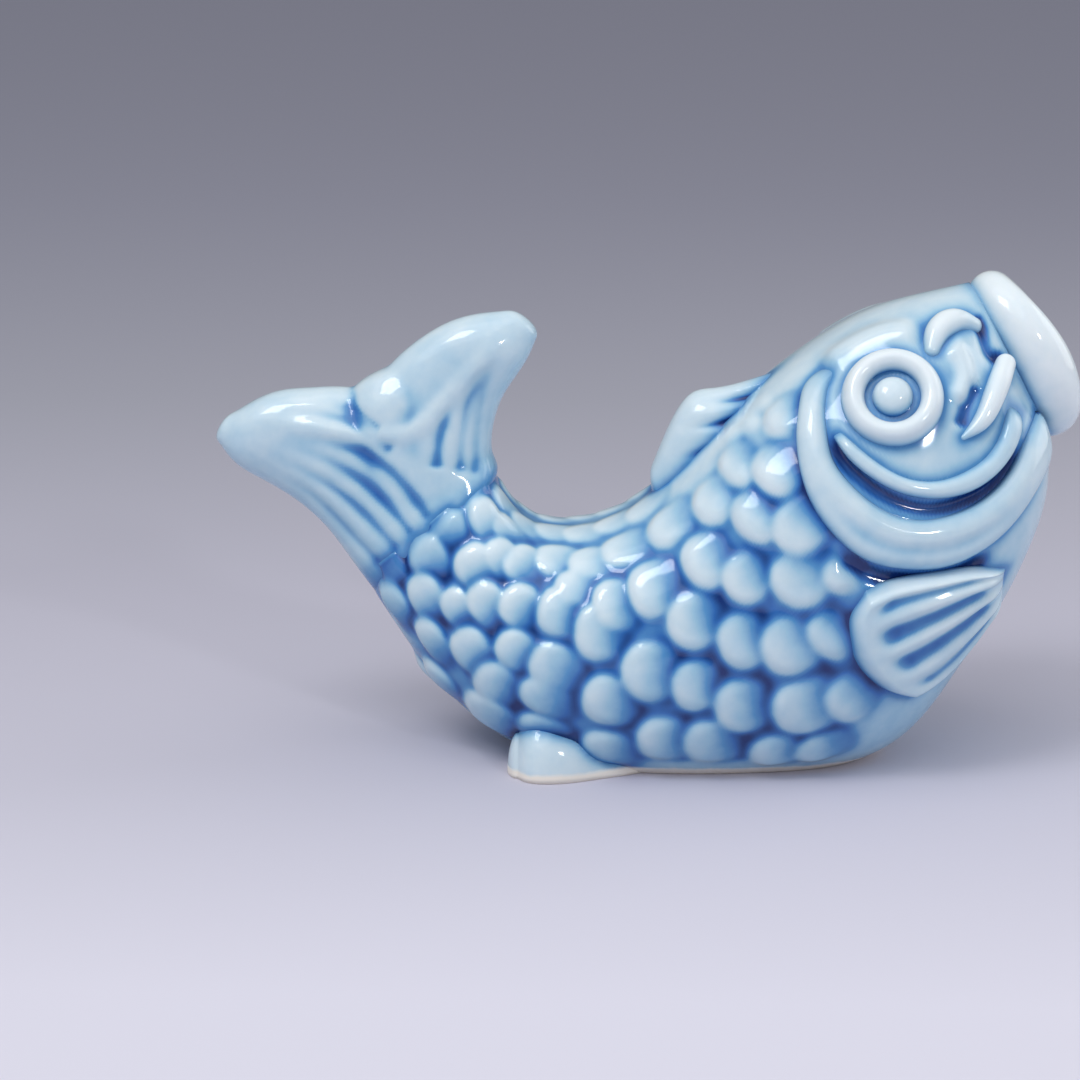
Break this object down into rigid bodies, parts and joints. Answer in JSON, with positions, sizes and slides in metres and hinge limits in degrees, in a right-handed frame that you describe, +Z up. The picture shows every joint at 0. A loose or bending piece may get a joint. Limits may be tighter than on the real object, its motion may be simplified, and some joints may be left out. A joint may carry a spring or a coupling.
{
  "type": "brush rest",
  "caption": "Glazed porcelain brush rest in the form of a leaping carp; a brush lies in the saddle between the dorsal fin and the raised tail.",
  "frame": {"origin": "on the table, in the middle of the part's footprint box", "axes": "+X towards the carp's nose, +Y towards its left flank and along a brush that lies in the saddle, +Z up"},
  "size_m": [0.1202, 0.0456, 0.0689],
  "materials": {
    "cobalt_glaze": "gloss, white porcelain under a cobalt wash that pools dark in the hollows",
    "white_glaze": "gloss, nearly clear glaze over white porcelain",
    "bare_porcelain": "matt, unglazed"
  },
  "bodies": {
    "root": {"body": "cobalt_glaze", "foot_slab": "bare_porcelain", "lips": "white_glaze", "tail_fin": "cobalt_glaze", "dorsal_fin": "cobalt_glaze", "gill_cover_right": "cobalt_glaze", "gill_cover_left": "cobalt_glaze", "cheek_right": "cobalt_glaze", "cheek_left": "cobalt_glaze", "pectoral_fin_right": "cobalt_glaze", "pectoral_fin_left": "cobalt_glaze", "pelvic_fin_right": "white_glaze", "pelvic_fin_left": "white_glaze", "eye_rim_right": "white_glaze", "eye_rim_left": "white_glaze", "eye_pupil_right": "white_glaze", "eye_pupil_left": "white_glaze", "barbel_right": "white_glaze", "barbel_left": "white_glaze", "nostril_fold_right": "white_glaze", "nostril_fold_left": "white_glaze"}
  },
  "joints": []
}
